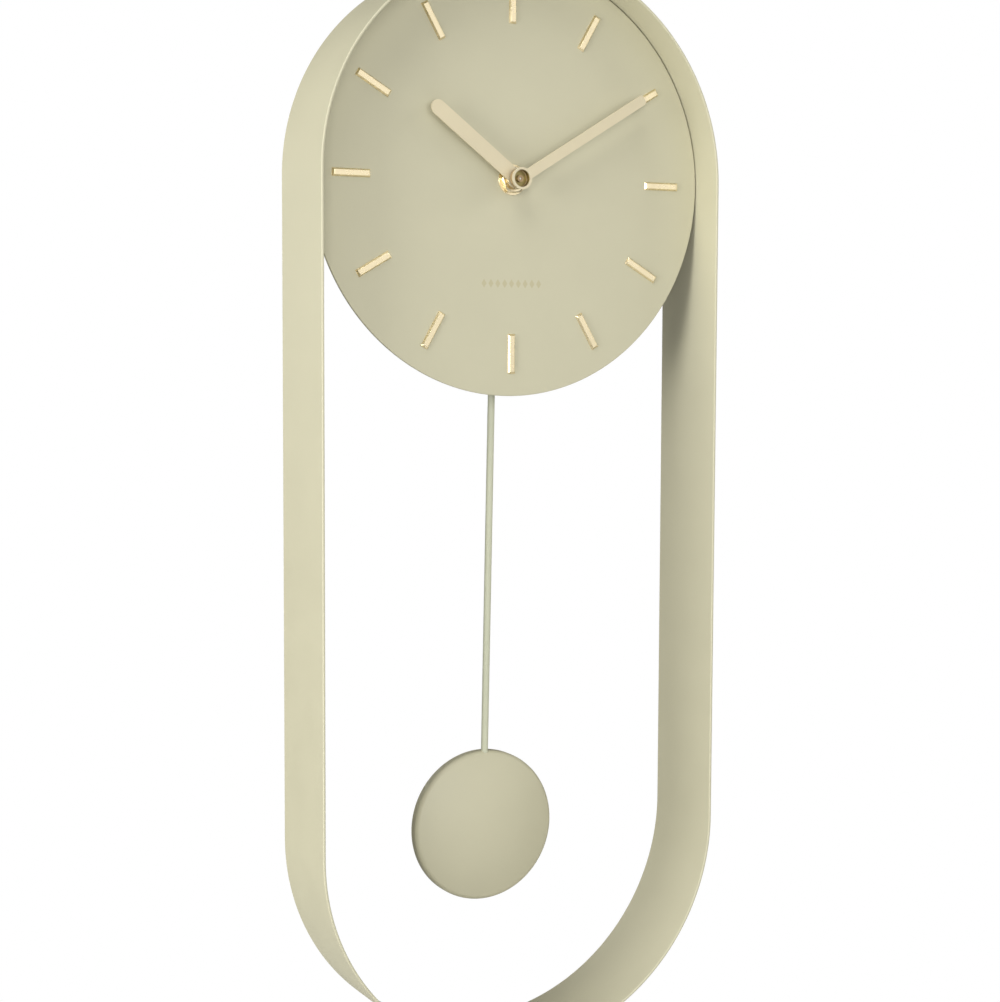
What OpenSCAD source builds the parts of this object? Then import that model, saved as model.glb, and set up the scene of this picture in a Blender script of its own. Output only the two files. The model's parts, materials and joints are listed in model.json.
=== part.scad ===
// Pendulum wall clock: a tall stadium-shaped steel band with a round dial set back in its top,
// a quartz pendulum movement behind the dial and a free-swinging pendulum in the open window below.
// X runs to the right as seen from the front, the front faces -Y, Z is up, in millimetres.
// The origin is the centre of the hanger's keyhole, on the wall plane y = 0.
// Most parts are placed from the dial's centre, which lies dial_drop below the origin.

/* [Frame] */
// Outer width of the band
frame_w = 200; // [190:1:220]
// Outer height of the band
frame_h = 500; // [460:5:540]
// Depth of the band, from the wall to its front edge
frame_d = 48; // [46:1:60]
// Thickness of the sheet steel
sheet_t = 1.2; // [1:0.1:1.5]

/* [Dial] */
// Distance from the wall to the dial's front face
dial_front = 30; // [30:0.5:31]
// Thickness of the dial plate
dial_t = 1.5; // [1:0.1:1.5]
// Gap between the dial's edge and the band
dial_gap = 0.5; // [0.4:0.1:1]
// Distance from the dial's centre up to the keyhole
dial_drop = 60; // [58:1:62]
// Inner radius of the ring of hour markers
marker_in = 70; // [66:1:74]
// Length of an hour marker
marker_len = 18; // [12:0.5:22]
// Width of an hour marker at its foot
marker_w = 3.6; // [3:0.1:5]
// Height of an hour marker above the dial
marker_t = 1.1; // [0.8:0.1:2]

/* [Hands] */
// Angle of the hour hand from twelve o'clock, clockwise from the front
hour_angle = -53; // [-180:1:180]
// Reach of the hour hand from the dial's centre
hour_reach = 53; // [45:1:60]
// Width of the hour hand
hour_w = 7; // [6:0.1:8]
// Angle of the minute hand from twelve o'clock, clockwise from the front
minute_angle = 58.5; // [-180:0.5:180]
// Reach of the minute hand from the dial's centre
minute_reach = 74.5; // [68:0.5:80]
// Width of the minute hand
minute_w = 4.8; // [4:0.1:6]
// Thickness of the hands
hand_t = 0.8; // [0.6:0.1:1]

/* [Pendulum] */
// Depth of the pendulum's plane from the wall
swing_plane = 12; // [12:0.1:12.5]
// Distance from the pivot down to the bob's centre
swing_len = 267.5; // [230:0.5:290]
// Angle at which the pendulum is drawn, to the left of plumb
swing_lean = 1; // [0:0.1:2]
// Diameter of the pendulum rod
rod_d = 3.3; // [3:0.1:3.3]
// Radius of the bob
bob_r = 35.6; // [28:0.1:40]
// Height of the bob's side wall
bob_wall = 5.5; // [5:0.1:6]
// Depth of the bob from its back to the crown of its dome
bob_d = 11; // [10:0.1:14]

/* [Movement] */
// Width of the movement
move_w = 56; // [56:1:60]
// Height of the movement above the dial's centre
move_up = 28; // [28:1:32]
// Depth of the gear chamber below the dial's centre
move_down = 30; // [30:1:32]
// Length of the pendulum frame below the gear chamber
swing_box = 54; // [54:1:58]
// Thickness of the movement's plastic walls
wall_t = 1.5; // [1.5:0.1:1.6]

/* [Hidden] */
$fn = 96;
// radial gap left at glued, welded and pressed joints
press = 0.01;
// radial clearance of a shaft that turns in its hole
run = 0.05;
// overlap that makes a cutter pass through a face
cut = 1;

// colours of the finishes
sage = [0.82, 0.8, 0.69];
brass = [0.86, 0.68, 0.4];
champagne = [0.86, 0.8, 0.65];
zinc = [0.76, 0.77, 0.79];
coppered = [0.72, 0.5, 0.32];
copper = [0.72, 0.4, 0.2];
lamination = [0.62, 0.63, 0.65];
magnet_grey = [0.42, 0.42, 0.45];
acetal = [0.9, 0.9, 0.86];
white_plastic = [0.95, 0.95, 0.93];
black_plastic = [0.1, 0.1, 0.11];
black_rubber = [0.12, 0.12, 0.12];
board_green = [0.1, 0.4, 0.22];
resin = [0.08, 0.08, 0.08];
sleeve_green = [0.2, 0.45, 0.35];

// depths along Y, all negative because the front faces -Y
dial_back_y = -dial_front + dial_t;
gasket_t = 0.5;
case_front_y = dial_back_y + gasket_t;
case_inside_y = case_front_y + wall_t;
cover_front_y = -9;
cover_t = 1.5;
cover_back_y = cover_front_y + cover_t;

// hour markers: flat-topped batons with bevelled sides and ends
marker_top = 2.3;
marker_side = 0.15;
marker_end = 0.7;

// frame
band_r = frame_w / 2;
band_in_r = band_r - sheet_t;
band_straight = frame_h - frame_w;
dial_r = band_in_r - dial_gap;

// hanger bar
bar_t = 1.5;
bar_low = 48;
bar_high = 74;
bar_tab = 14;
keyhole_r = 4.5;
slot_w = 4.4;
slot_rise = 8.5;

// dial fixings
bracket_angles = [14, 66, 114, 166];
bracket_span = 11;
bracket_in_r = 85;
bracket_t = 1.2;
bracket_d = 12;
stud_at_r = 91;
stud_r = 1.5;
stud_len = 7;
stud_hole_r = 1.75;
m3_washer_r = 3.5;
m3_washer_t = 0.5;
m3_nut_af = 5.5;
m3_nut_t = 2.4;

// hub stack on the dial
bushing_r = 4;
bushing_bore = 2.5;
bushing_len = 7.7;
dial_hole_r = 4.2;
washer_r = 7;
washer_t = 0.6;
nut_af = 11.5;
nut_t = 2.4;
nut_back_y = -dial_front - washer_t;

// concentric pipes, from the inside out
second_r = 0.5;
minute_bore = second_r + run;
minute_pipe_r = 1.55;
hour_bore = minute_pipe_r + run;
hour_pipe_r = bushing_bore - run;
hour_plane = -35.1;
minute_plane = -39.6;
collet_r = 3.3;
collet_flange_r = 4.2;
hour_hub_r = 4.6;
minute_ring_r = 5;
cup_r = 4.7;
cup_bore = 3.9;
cup_len = 2.9;
cup_floor_t = 0.7;
cup_back_y = minute_plane + cup_len;
minute_pipe_y = cup_back_y - cup_floor_t - 1.2;

// gear train: teeth, modules and the directions in which the axes lie from the centre
tip_k = 0.7;
root_k = 1.1;
hour_teeth = 48;
cannon_teeth = 12;
minute_teeth = 36;
minute_pinion_teeth = 12;
centre_teeth = 64;
third_pinion_teeth = 8;
third_teeth = 60;
second_pinion_teeth = 8;
second_teeth = 60;
fifth_pinion_teeth = 10;
fifth_teeth = 60;
rotor_teeth = 12;
cannon_m = 0.5;
centre_m = 0.32;
second_m = 0.28;
fifth_m = 0.25;
minute_dist = cannon_m * (cannon_teeth + minute_teeth) / 2;
hour_m = 2 * minute_dist / (hour_teeth + minute_pinion_teeth);
third_dist = centre_m * (centre_teeth + third_pinion_teeth) / 2;
third_m = 2 * third_dist / (third_teeth + second_pinion_teeth);
fifth_dist = second_m * (second_teeth + fifth_pinion_teeth) / 2;
rotor_dist = fifth_m * (fifth_teeth + rotor_teeth) / 2;
minute_dir = 125;
third_dir = 0;
fifth_dir = 60;
rotor_dir = 90;

function polar(r, a) = [r * cos(a), r * sin(a)];
minute_at = polar(minute_dist, minute_dir);
third_at = polar(third_dist, third_dir);
fifth_at = polar(fifth_dist, fifth_dir);
rotor_at = fifth_at + polar(rotor_dist, rotor_dir);

// the angle that puts gear b's gap on gear a's tooth, with b in direction dir from a
function mesh_phase(phase_a, n_a, n_b, dir) = dir + 180 - (0.5 - (dir - phase_a) * n_a / 360) * 360 / n_b;

// gear layers, each the y of a gear's back face
motion_y = -25.2;
cannon_y = -23.6;
centre_y = -21.6;
third_y = -19;
second_y = -16.6;
fifth_y = -14.4;
wheel_t = 0.8;
pinion_over = 0.3;
arbor_r = 0.6;
pivot_r = 0.4;
pivot_hole = pivot_r + run;
pivot_len = 0.8;
pivot_deep = 0.5;
pivot_end = 0.2;
pivot_gap = 0.1;
pipe_inset = 0.6;
pillar_r = 1.1;
pillar_neck_r = 0.6;
pillar_hole_r = 0.65;
pillars = [[-13.3, 18.6], [-12.5, -9], [20.5, -9], [20.5, 9.2]];
plate_low = [-15, -10.5];
plate_size = [37, 35.5];
stem_r = 0.9;
stem_back_y = cover_back_y + 2.8;
mid_plate_y = -17.8;
plate_t = 0.7;
train_plate_y = -9.6;
rotor_hub_r = 1.2;
rotor_magnet_r = 3;
rotor_magnet_y = -11.4;
rotor_magnet_t = 2;

// motor
stator_y = -12.2;
stator_t = 0.8;
stator_ring_r = 6;
stator_bore = 3.5;
core_x = -19;
core_w = 3;
core_t = 1.2;
core_low = 11.2;
core_high = 24.4;
winding_r = 2.5;
winding_low = 13.8;
winding_high = 21.8;
arm_w = 2.2;

// electronics
board_x = 13.6;
board_z = 11.2;
board_y = -12.5;
board_t = 1;
board_w = 8.8;
board_h = 14;
chip_r = 3;
chip_dome_r = 3.2;
crystal_r = 1;
crystal_len = 6;

// battery bay
cell_r = 7.1;
cell_len = 49.2;
nub_r = 2.75;
nub_len = 1.2;
cell_x = -25.2;
cell_z = -21.3;
cell_y = -15.6;
bay_top = -12.2;
bay_wall = 1.2;
contact_t = 0.4;
contact_w = 8;
contact_d = 11;
contact_front = 5;

// case screws
boss_x = 24.6;
boss_zs = [24.2, -9.8];
boss_r = 2;
screw_r = 1;
screw_len = 7;
screw_head_r = 1.9;
screw_head_t = 1.2;

// pendulum drive, placed from the pivot, which lies pivot_drop below the dial's centre
pivot_drop = 34;
pin_r = 0.75;
pin_hole = pin_r + run;
pin_boss_r = 3.4;
arm_t = 3;
arm_plate_w = 7;
magnet_drop = 24;
magnet_r = 5.5;
magnet_t = 3;
hook_drop = 37;
hook_pin_r = 1.3;
eye_bore = 1.45;
cheek_gap = 3.7;
cheek_t = 1;
coil_bore = 1.5;
bobbin_core_r = 3.5;
bobbin_r = 9;
bobbin_t = 1;
bobbin_len = 8;
coil_r = 8.3;
bob_sheet = 0.8;
bob_back_y = -8.5;
bob_fillet = 2.2;
sleeve_r = swing_plane + bob_back_y - bob_sheet;
sleeve_len = 14;
rod_past = 3;
rod_gap = 0.1;

// ---- helpers ----

// moves a part drawn about the dial's centre into the clock's frame
module at_dial() {
    translate([0, 0, -dial_drop]) children();
}

// stands a shape drawn in X and Y up as seen from the front, with its base at depth y, growing forward
module facing(y) {
    translate([0, y, 0]) rotate([90, 0, 0]) children();
}

// the same, at a point [x, z] measured from the dial's centre
module facing_at(p, y) {
    translate([p[0], 0, p[1]]) facing(y) children();
}

// swings a part drawn about a plumb pendulum's pivot to the lean at rest
module at_swing() {
    at_dial() translate([0, 0, -pivot_drop]) rotate([0, swing_lean, 0]) children();
}

// one hand's blade direction, clockwise from twelve
module at_hand(angle) {
    rotate([0, angle, 0]) children();
}

module ring(r, bore, h) {
    difference() {
        cylinder(r = r, h = h);
        translate([0, 0, -cut]) cylinder(r = bore, h = h + 2 * cut);
    }
}

module stadium(r, straight) {
    circle(r);
    translate([0, -straight]) circle(r);
    translate([-r, -straight]) square([2 * r, straight]);
}

module hexagon(af) {
    circle(r = af / 2 / cos(30), $fn = 6);
}

// the outline of a clock gear: each tooth has a straight flank above and below the pitch circle
module gear_outline(teeth, m, phase) {
    pitch_r = teeth * m / 2;
    step = 360 / teeth;
    flank = [
        [-root_k * m, -0.26], [0, -0.2], [tip_k * m, -0.1],
        [tip_k * m, 0.1], [0, 0.2], [-root_k * m, 0.26]
    ];
    polygon([
        for (i = [0 : teeth - 1]) for (p = flank)
            polar(pitch_r + p[0], phase + (i + p[1]) * step)
    ]);
}

module gear(teeth, m, phase, h, bore) {
    linear_extrude(h) difference() {
        gear_outline(teeth, m, phase);
        circle(bore);
    }
}

// a wheel with round windows between its rim and hub
module wheel(teeth, m, phase, h, bore, windows) {
    pitch_r = teeth * m / 2;
    window_r = pitch_r * 0.2;
    linear_extrude(h) difference() {
        gear_outline(teeth, m, phase);
        circle(bore);
        for (i = [0 : windows - 1])
            translate(polar(pitch_r * 0.58, phase + i * 360 / windows)) circle(window_r);
    }
}

// a shaft with a thinner pivot at each end, from depth y_front to y_back
module arbor(y_front, y_back) {
    facing(y_back - pivot_len) cylinder(r = arbor_r, h = y_back - y_front - 2 * pivot_len);
    facing(y_back) cylinder(r = pivot_r, h = y_back - y_front);
}

// ---- frame and dial ----

module frame_band() {
    color(sage) at_dial() facing(0) linear_extrude(frame_d) difference() {
        stadium(band_r, band_straight);
        stadium(band_in_r, band_straight);
    }
}

module keyhole() {
    translate([0, dial_drop]) {
        circle(keyhole_r);
        translate([0, slot_rise]) circle(slot_w / 2);
        translate([-slot_w / 2, 0]) square([slot_w, slot_rise]);
    }
}

// the level strip of the frame's back in which the hanger bar and its tabs lie
module bar_strip() {
    translate([-band_r, bar_low]) square([frame_w, bar_high - bar_low]);
}

module hanger_bar() {
    color(sage) at_dial() facing(0) linear_extrude(bar_t) difference() {
        intersection() {
            circle(band_in_r - bar_t - 2 * press);
            bar_strip();
        }
        keyhole();
    }
}

// curved tabs, welded to the band and to the ends of the hanger bar
module hanger_tabs() {
    color(sage) at_dial() facing(0) linear_extrude(bar_tab) intersection() {
        difference() {
            circle(band_in_r - press);
            circle(band_in_r - bar_t - press);
        }
        bar_strip();
    }
}

module dial_brackets() {
    color(sage) at_dial() facing(dial_back_y + bracket_d) for (a = bracket_angles) rotate(a) {
        difference() {
            rotate(-bracket_span / 2) rotate_extrude(angle = bracket_span) {
                translate([bracket_in_r, bracket_d - bracket_t])
                    square([band_in_r - press - bracket_in_r, bracket_t]);
                translate([band_in_r - press - bracket_t, 0]) square([bracket_t, bracket_d]);
            }
            translate([stud_at_r, 0, bracket_d - bracket_t - cut])
                cylinder(r = stud_hole_r, h = bracket_t + 2 * cut);
        }
    }
}

module dial_plate() {
    color(sage) at_dial() facing(dial_back_y) ring(dial_r, dial_hole_r, dial_t);
}

// places a fixing on each dial stud, growing backward from the dial's back face
module at_studs(behind) {
    at_dial() for (a = bracket_angles) facing_at(polar(stud_at_r, a), dial_back_y + behind) children();
}

module dial_studs() {
    color(coppered) at_studs(stud_len) cylinder(r = stud_r, h = stud_len);
}

module stud_washers() {
    color(zinc) at_studs(bracket_t + m3_washer_t) ring(m3_washer_r, stud_hole_r, m3_washer_t);
}

module stud_nuts() {
    color(zinc) at_studs(bracket_t + m3_washer_t + m3_nut_t) difference() {
        linear_extrude(m3_nut_t) hexagon(m3_nut_af);
        translate([0, 0, -cut]) cylinder(r = stud_r + press, h = m3_nut_t + 2 * cut);
    }
}

// a baton with sloping sides and ends, lying along +Y from the inner radius
module marker() {
    foot = marker_w / 2;
    top = marker_top / 2;
    translate([0, marker_in]) intersection() {
        rotate([90, 0, 180]) linear_extrude(marker_len) polygon([
            [-foot, 0], [foot, 0], [foot, marker_side],
            [top, marker_t], [-top, marker_t], [-foot, marker_side]
        ]);
        rotate([90, 0, 90]) translate([0, 0, -marker_w]) linear_extrude(2 * marker_w) polygon([
            [0, 0], [marker_len, 0], [marker_len, marker_side],
            [marker_len - marker_end, marker_t], [marker_end, marker_t], [0, marker_side]
        ]);
    }
}

module hour_markers() {
    color(brass) at_dial() facing(-dial_front) for (i = [0 : 11]) rotate(i * 30) marker();
}

// ---- movement housing ----

module rubber_gasket() {
    pad = move_w - 8;
    color(black_rubber) at_dial() facing(case_front_y) linear_extrude(gasket_t) difference() {
        square(pad, center = true);
        circle(dial_hole_r);
    }
}

// outline of the gear chamber and battery bay
module chamber(inset) {
    translate([-move_w / 2 + inset, -move_down + inset])
        square([move_w - 2 * inset, move_up + move_down - 2 * inset]);
}

module case_shell() {
    depth = cover_front_y - case_front_y;
    facing(cover_front_y) difference() {
        linear_extrude(depth) chamber(0);
        translate([0, 0, -cut]) linear_extrude(depth - wall_t + cut) chamber(wall_t);
    }
    facing(cover_front_y) linear_extrude(depth)
        translate([-move_w / 2, bay_top - bay_wall]) square([move_w, bay_wall]);
}

// the open frame in which the swing arm hangs: its lower rail is shallow, so that the rod passes behind it
module swing_frame() {
    rail = 3.5;
    rail_depth = 8;
    low = -move_down - swing_box;
    facing(case_inside_y) linear_extrude(wall_t)
        translate([-move_w / 2, low]) square([move_w, swing_box]);
    facing(cover_back_y) linear_extrude(cover_back_y - case_front_y)
        for (x = [-move_w / 2, move_w / 2 - rail]) translate([x, low]) square([rail, swing_box]);
    facing(case_front_y + rail_depth) linear_extrude(rail_depth)
        translate([-move_w / 2, low]) square([move_w, rail]);
}

// the posts that hold the two bearing plates
module plate_posts() {
    step_y = mid_plate_y - plate_t;
    for (p = pillars) {
        facing_at(p, step_y) cylinder(r = pillar_r, h = step_y - case_front_y);
        facing_at(p, train_plate_y) cylinder(r = pillar_neck_r, h = train_plate_y - case_front_y);
    }
}

module case_screw_holes(r, depth) {
    for (x = [-boss_x, boss_x]) for (z = boss_zs)
        facing_at([x, z], cover_front_y + cut) cylinder(r = r, h = depth + cut);
}

module movement_case() {
    arbor_points = [minute_at, third_at];
    boss_len = cover_front_y - case_front_y;
    pin_boss_len = 11;
    color(black_plastic) at_dial() difference() {
        union() {
            case_shell();
            swing_frame();
            plate_posts();
            for (x = [-boss_x, boss_x]) for (z = boss_zs)
                facing_at([x, z], cover_front_y) cylinder(r = boss_r, h = boss_len);
            facing_at([0, -pivot_drop], case_front_y + pin_boss_len)
                cylinder(r = pin_boss_r, h = pin_boss_len);
        }
        case_screw_holes(screw_r + press, screw_len);
        facing(case_inside_y + cut) cylinder(r = bushing_r + press, h = wall_t + 2 * cut);
        for (p = arbor_points)
            facing_at(p, case_inside_y + cut) cylinder(r = pivot_hole, h = pivot_deep + pivot_end + cut);
        facing_at([0, -pivot_drop], cover_back_y)
            cylinder(r = pin_r + press, h = cover_back_y - case_front_y - wall_t / 2);
        facing_at([0, -pivot_drop - magnet_drop], case_inside_y + cut)
            cylinder(r = coil_bore, h = wall_t + 2 * cut);
    }
}

module movement_cover() {
    lug_w = 12;
    lug_low = -pivot_drop - 5;
    bay = 1;
    color(black_plastic) at_dial() difference() {
        facing(cover_back_y) linear_extrude(cover_t) {
            difference() {
                chamber(0);
                translate([-move_w / 2 + wall_t, -move_down + wall_t])
                    square([move_w - 2 * wall_t, bay_top - bay_wall - bay + move_down - wall_t]);
            }
            translate([-lug_w / 2, lug_low]) square([lug_w, -move_down - lug_low]);
        }
        facing_at(minute_at, cover_back_y + cut) cylinder(r = 1.3, h = cover_t + 2 * cut);
        facing_at([0, -pivot_drop], cover_back_y + cut) cylinder(r = pin_r + press, h = cover_t + 2 * cut);
        for (x = [-boss_x, boss_x]) for (z = boss_zs)
            facing_at([x, z], cover_back_y + cut) cylinder(r = screw_r + 0.2, h = cover_t + 2 * cut);
    }
}

module cover_screws() {
    shank = screw_len - 1;
    slot = 0.5;
    color(zinc) at_dial() for (x = [-boss_x, boss_x]) for (z = boss_zs)
        facing_at([x, z], cover_back_y) {
            translate([0, 0, -screw_head_t]) difference() {
                cylinder(r = screw_head_r, h = screw_head_t);
                for (turn = [0, 90]) rotate(turn) translate([-screw_head_r * 0.6, -slot / 2, -cut])
                    cube([screw_head_r * 1.2, slot, cut + screw_head_t / 2]);
            }
            cylinder(r = screw_r, h = shank);
        }
}

// a bearing plate, with its pivot holes and the wider holes that let an arbor pass
module bearing_plate(y, pivots, passes) {
    pass_r = 1.1;
    facing(y) linear_extrude(plate_t) difference() {
        translate(plate_low) square(plate_size);
        for (p = pivots) translate(p) circle(pivot_hole);
        for (p = passes) translate(p) circle(pass_r);
        for (p = pillars) translate(p) circle(pillar_hole_r);
    }
}

module middle_plate() {
    spacer_y = train_plate_y - plate_t - press;
    color(acetal) at_dial() {
        bearing_plate(mid_plate_y, [fifth_at, rotor_at], [minute_at, third_at, [0, 0]]);
        for (p = pillars) facing_at(p, spacer_y) ring(pillar_r, pillar_hole_r, spacer_y - mid_plate_y);
    }
}

module train_plate() {
    color(acetal) at_dial()
        bearing_plate(train_plate_y, [[0, 0], third_at, fifth_at, rotor_at], [minute_at]);
}

// ---- hub ----

module threaded_bushing() {
    color(brass) at_dial() facing(case_inside_y) ring(bushing_r, bushing_bore, bushing_len);
}

module dial_washer() {
    color(brass) at_dial() facing(-dial_front) ring(washer_r, dial_hole_r, washer_t);
}

module hex_nut() {
    color(brass) at_dial() facing(nut_back_y) difference() {
        intersection() {
            linear_extrude(nut_t) hexagon(nut_af);
            cylinder(r = nut_af / 2 * 1.12, h = nut_t);
        }
        translate([0, 0, -cut]) cylinder(r = bushing_r + press, h = nut_t + 2 * cut);
    }
}

// ---- hands and gear train ----

module hour_wheel() {
    phase = mesh_phase(0, minute_pinion_teeth, hour_teeth, minute_dir + 180);
    color(acetal) at_dial() {
        facing(motion_y) gear(hour_teeth, hour_m, phase, 1, hour_bore);
        facing(motion_y) ring(hour_pipe_r, hour_bore, motion_y - hour_plane + hand_t + 0.3);
    }
}

module hour_collet() {
    back_y = hour_plane + 0.6;
    color(brass) at_dial() {
        facing(back_y) ring(collet_flange_r, hour_pipe_r + press, 0.6);
        facing(back_y) ring(collet_r, hour_pipe_r + press, 0.6 + hand_t);
    }
}

module hour_hand() {
    color(champagne) at_dial() at_hand(hour_angle) facing(hour_plane)
    linear_extrude(hand_t) difference() {
        union() {
            circle(hour_hub_r);
            translate([-hour_w / 2, 0]) square([hour_w, hour_reach - hour_w / 2]);
            translate([0, hour_reach - hour_w / 2]) circle(hour_w / 2);
        }
        circle(collet_r + press);
    }
}

module minute_arbor() {
    color(brass) at_dial() {
        facing(centre_y + 0.6) ring(minute_pipe_r, minute_bore, centre_y + 0.6 - minute_pipe_y);
        facing(cannon_y + 0.2) gear(cannon_teeth, cannon_m, 0, wheel_t + 0.4, minute_bore);
    }
}

module centre_wheel() {
    hub_r = 2.6;
    color(acetal) at_dial() {
        facing(centre_y) wheel(centre_teeth, centre_m, 0, wheel_t, minute_pipe_r + press, 5);
        facing(centre_y + 0.5) ring(hub_r, minute_pipe_r + press, 0.5);
    }
}

module minute_hand() {
    corner = 1.4;
    color(champagne) at_dial() at_hand(minute_angle) facing(minute_plane)
    linear_extrude(hand_t) difference() {
        union() {
            circle(minute_ring_r);
            translate([-minute_w / 2, 0]) square([minute_w, minute_reach - corner]);
            translate([-minute_w / 2 + corner, 0]) square([minute_w - 2 * corner, minute_reach]);
            for (side = [-1, 1])
                translate([side * (minute_w / 2 - corner), minute_reach - corner]) circle(corner);
        }
        circle(cup_bore);
    }
}

// a drawn brass cup: its floor grips the minute pipe, its rim carries the hand
module minute_hand_cap() {
    color(brass) at_dial() facing(cup_back_y) {
        ring(cup_r, minute_pipe_r + press, cup_floor_t);
        ring(cup_r, cup_bore, cup_len);
    }
}

module minute_wheel() {
    phase = mesh_phase(0, cannon_teeth, minute_teeth, minute_dir);
    color(acetal) at_dial() translate([minute_at[0], 0, minute_at[1]]) {
        facing(cannon_y) wheel(minute_teeth, cannon_m, phase, wheel_t, arbor_r / 2, 4);
        facing(cannon_y) gear(minute_pinion_teeth, hour_m, 0, cannon_y - motion_y + 1, arbor_r / 2);
        arbor(case_inside_y - pivot_deep, cannon_y + 1.5);
        facing(stem_back_y) cylinder(r = stem_r, h = stem_back_y - cannon_y);
    }
}

module setting_knob() {
    grips = 16;
    knob_r = 5;
    knob_t = 4;
    knob_back_y = cover_back_y + knob_t + 0.9;
    socket = 2;
    color(white_plastic) at_dial() facing_at(minute_at, knob_back_y) difference() {
        linear_extrude(knob_t) difference() {
            circle(knob_r);
            for (i = [0 : grips - 1]) rotate(i * 360 / grips) translate([knob_r + 0.25, 0]) circle(0.6);
        }
        translate([0, 0, knob_t - socket]) cylinder(r = stem_r + press, h = socket + cut);
    }
}

// a wheel and its pinion on one arbor, at a point from the dial's centre
module train_wheel(at, y, teeth, m, pinion_y, pinion_teeth, pinion_m, pinion_phase, y_front, y_back) {
    at_dial() translate([at[0], 0, at[1]]) {
        facing(y) wheel(teeth, m, 0, wheel_t, arbor_r / 2, 5);
        facing(pinion_y + pinion_over)
            gear(pinion_teeth, pinion_m, pinion_phase, wheel_t + 2 * pinion_over, arbor_r / 2);
        arbor(y_front, y_back);
    }
}

module third_wheel() {
    phase = mesh_phase(0, centre_teeth, third_pinion_teeth, third_dir);
    color(acetal) train_wheel(
        third_at, third_y, third_teeth, third_m,
        centre_y, third_pinion_teeth, centre_m, phase,
        case_inside_y - pivot_deep, train_plate_y - pivot_gap
    );
}

module seconds_wheel() {
    phase = mesh_phase(0, third_teeth, second_pinion_teeth, third_dir + 180);
    color(acetal) at_dial() {
        facing(second_y) wheel(second_teeth, second_m, 0, wheel_t, second_r / 2, 5);
        facing(third_y + pinion_over)
            gear(second_pinion_teeth, third_m, phase, wheel_t + 2 * pinion_over, second_r / 2);
        facing(train_plate_y - plate_t - pivot_gap)
            cylinder(r = second_r, h = train_plate_y - plate_t - pipe_inset - minute_pipe_y);
        facing(train_plate_y - pivot_gap) cylinder(r = pivot_r, h = 2);
    }
}

module fifth_wheel() {
    phase = mesh_phase(0, second_teeth, fifth_pinion_teeth, fifth_dir);
    color(acetal) train_wheel(
        fifth_at, fifth_y, fifth_teeth, fifth_m,
        second_y, fifth_pinion_teeth, second_m, phase,
        mid_plate_y - plate_t + pivot_gap, train_plate_y - pivot_gap
    );
}

module rotor_pinion() {
    phase = mesh_phase(0, fifth_teeth, rotor_teeth, rotor_dir);
    hub_over = 0.4;
    color(acetal) at_dial() translate([rotor_at[0], 0, rotor_at[1]]) {
        facing(fifth_y + pinion_over)
            gear(rotor_teeth, fifth_m, phase, wheel_t + 2 * pinion_over, arbor_r / 2);
        facing(rotor_magnet_y + hub_over)
            cylinder(r = rotor_hub_r, h = rotor_magnet_y + hub_over - fifth_y);
        arbor(mid_plate_y - plate_t + pivot_gap, train_plate_y - pivot_gap);
    }
}

module rotor_magnet() {
    color(magnet_grey) at_dial() facing_at(rotor_at, rotor_magnet_y)
        ring(rotor_magnet_r, rotor_hub_r + press, rotor_magnet_t);
}

// ---- motor and electronics ----

module stator() {
    color(lamination) at_dial() facing(stator_y) linear_extrude(stator_t) difference() {
        union() {
            translate(rotor_at) circle(stator_ring_r);
            for (z = [core_low, core_high - arm_w])
                translate([core_x - core_w / 2, z]) square([rotor_at[0] - core_x + core_w / 2, arm_w]);
        }
        translate(rotor_at) circle(stator_bore);
        for (side = [-1, 1]) translate(rotor_at + polar(stator_bore, 90 + side * 90 + 35)) circle(0.45);
    }
}

module coil_core() {
    color(lamination) at_dial() facing(stator_y + core_t) linear_extrude(core_t)
        translate([core_x - core_w / 2, core_low]) square([core_w, core_high - core_low]);
}

module motor_coil() {
    color(copper) at_dial() translate([core_x, stator_y + core_t / 2, 0]) difference() {
        translate([0, 0, winding_low]) cylinder(r = winding_r, h = winding_high - winding_low);
        translate([-core_w / 2 - press, -core_t / 2 - press, winding_low - cut])
            cube([core_w + 2 * press, core_t + 2 * press, winding_high - winding_low + 2 * cut]);
    }
}

module circuit_board() {
    color(board_green) at_dial() facing(board_y) linear_extrude(board_t)
        translate([board_x, board_z]) square([board_w, board_h]);
}

module chip() {
    chip_rise = 1;
    color(resin) at_dial() facing_at([board_x + 4.2, board_z + 4], board_y - board_t)
        intersection() {
            translate([0, 0, chip_rise - chip_dome_r]) sphere(r = chip_dome_r);
            cylinder(r = chip_r, h = chip_rise + cut);
        }
}

module quartz_crystal() {
    neck = 0.3;
    color(zinc) at_dial()
        translate([board_x + 1.2, board_y - board_t - crystal_r, board_z + 11.5]) rotate([0, 90, 0]) {
            cylinder(r = crystal_r, h = crystal_len);
            translate([0, 0, -neck]) cylinder(r = crystal_r * 0.8, h = neck);
        }
}

module battery() {
    color(sleeve_green) at_dial() translate([cell_x, cell_y, cell_z]) rotate([0, 90, 0]) {
        cylinder(r = cell_r, h = cell_len);
        cylinder(r = nub_r, h = cell_len + nub_len);
    }
}

module positive_contact() {
    color(zinc) at_dial()
        translate([cell_x + cell_len + nub_len + press, cell_y - contact_front, cell_z - contact_w / 2])
            cube([contact_t, contact_d, contact_w]);
}

module negative_contact() {
    spring_r = 2.4;
    spring_t = 0.4;
    color(zinc) at_dial() {
        translate([cell_x - spring_t - contact_t, cell_y - contact_front, cell_z - contact_w / 2])
            cube([contact_t, contact_d, contact_w]);
        translate([cell_x - spring_t, cell_y, cell_z]) rotate([0, 90, 0])
            cylinder(r = spring_r, h = spring_t - press);
    }
}

// ---- pendulum drive ----

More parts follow.
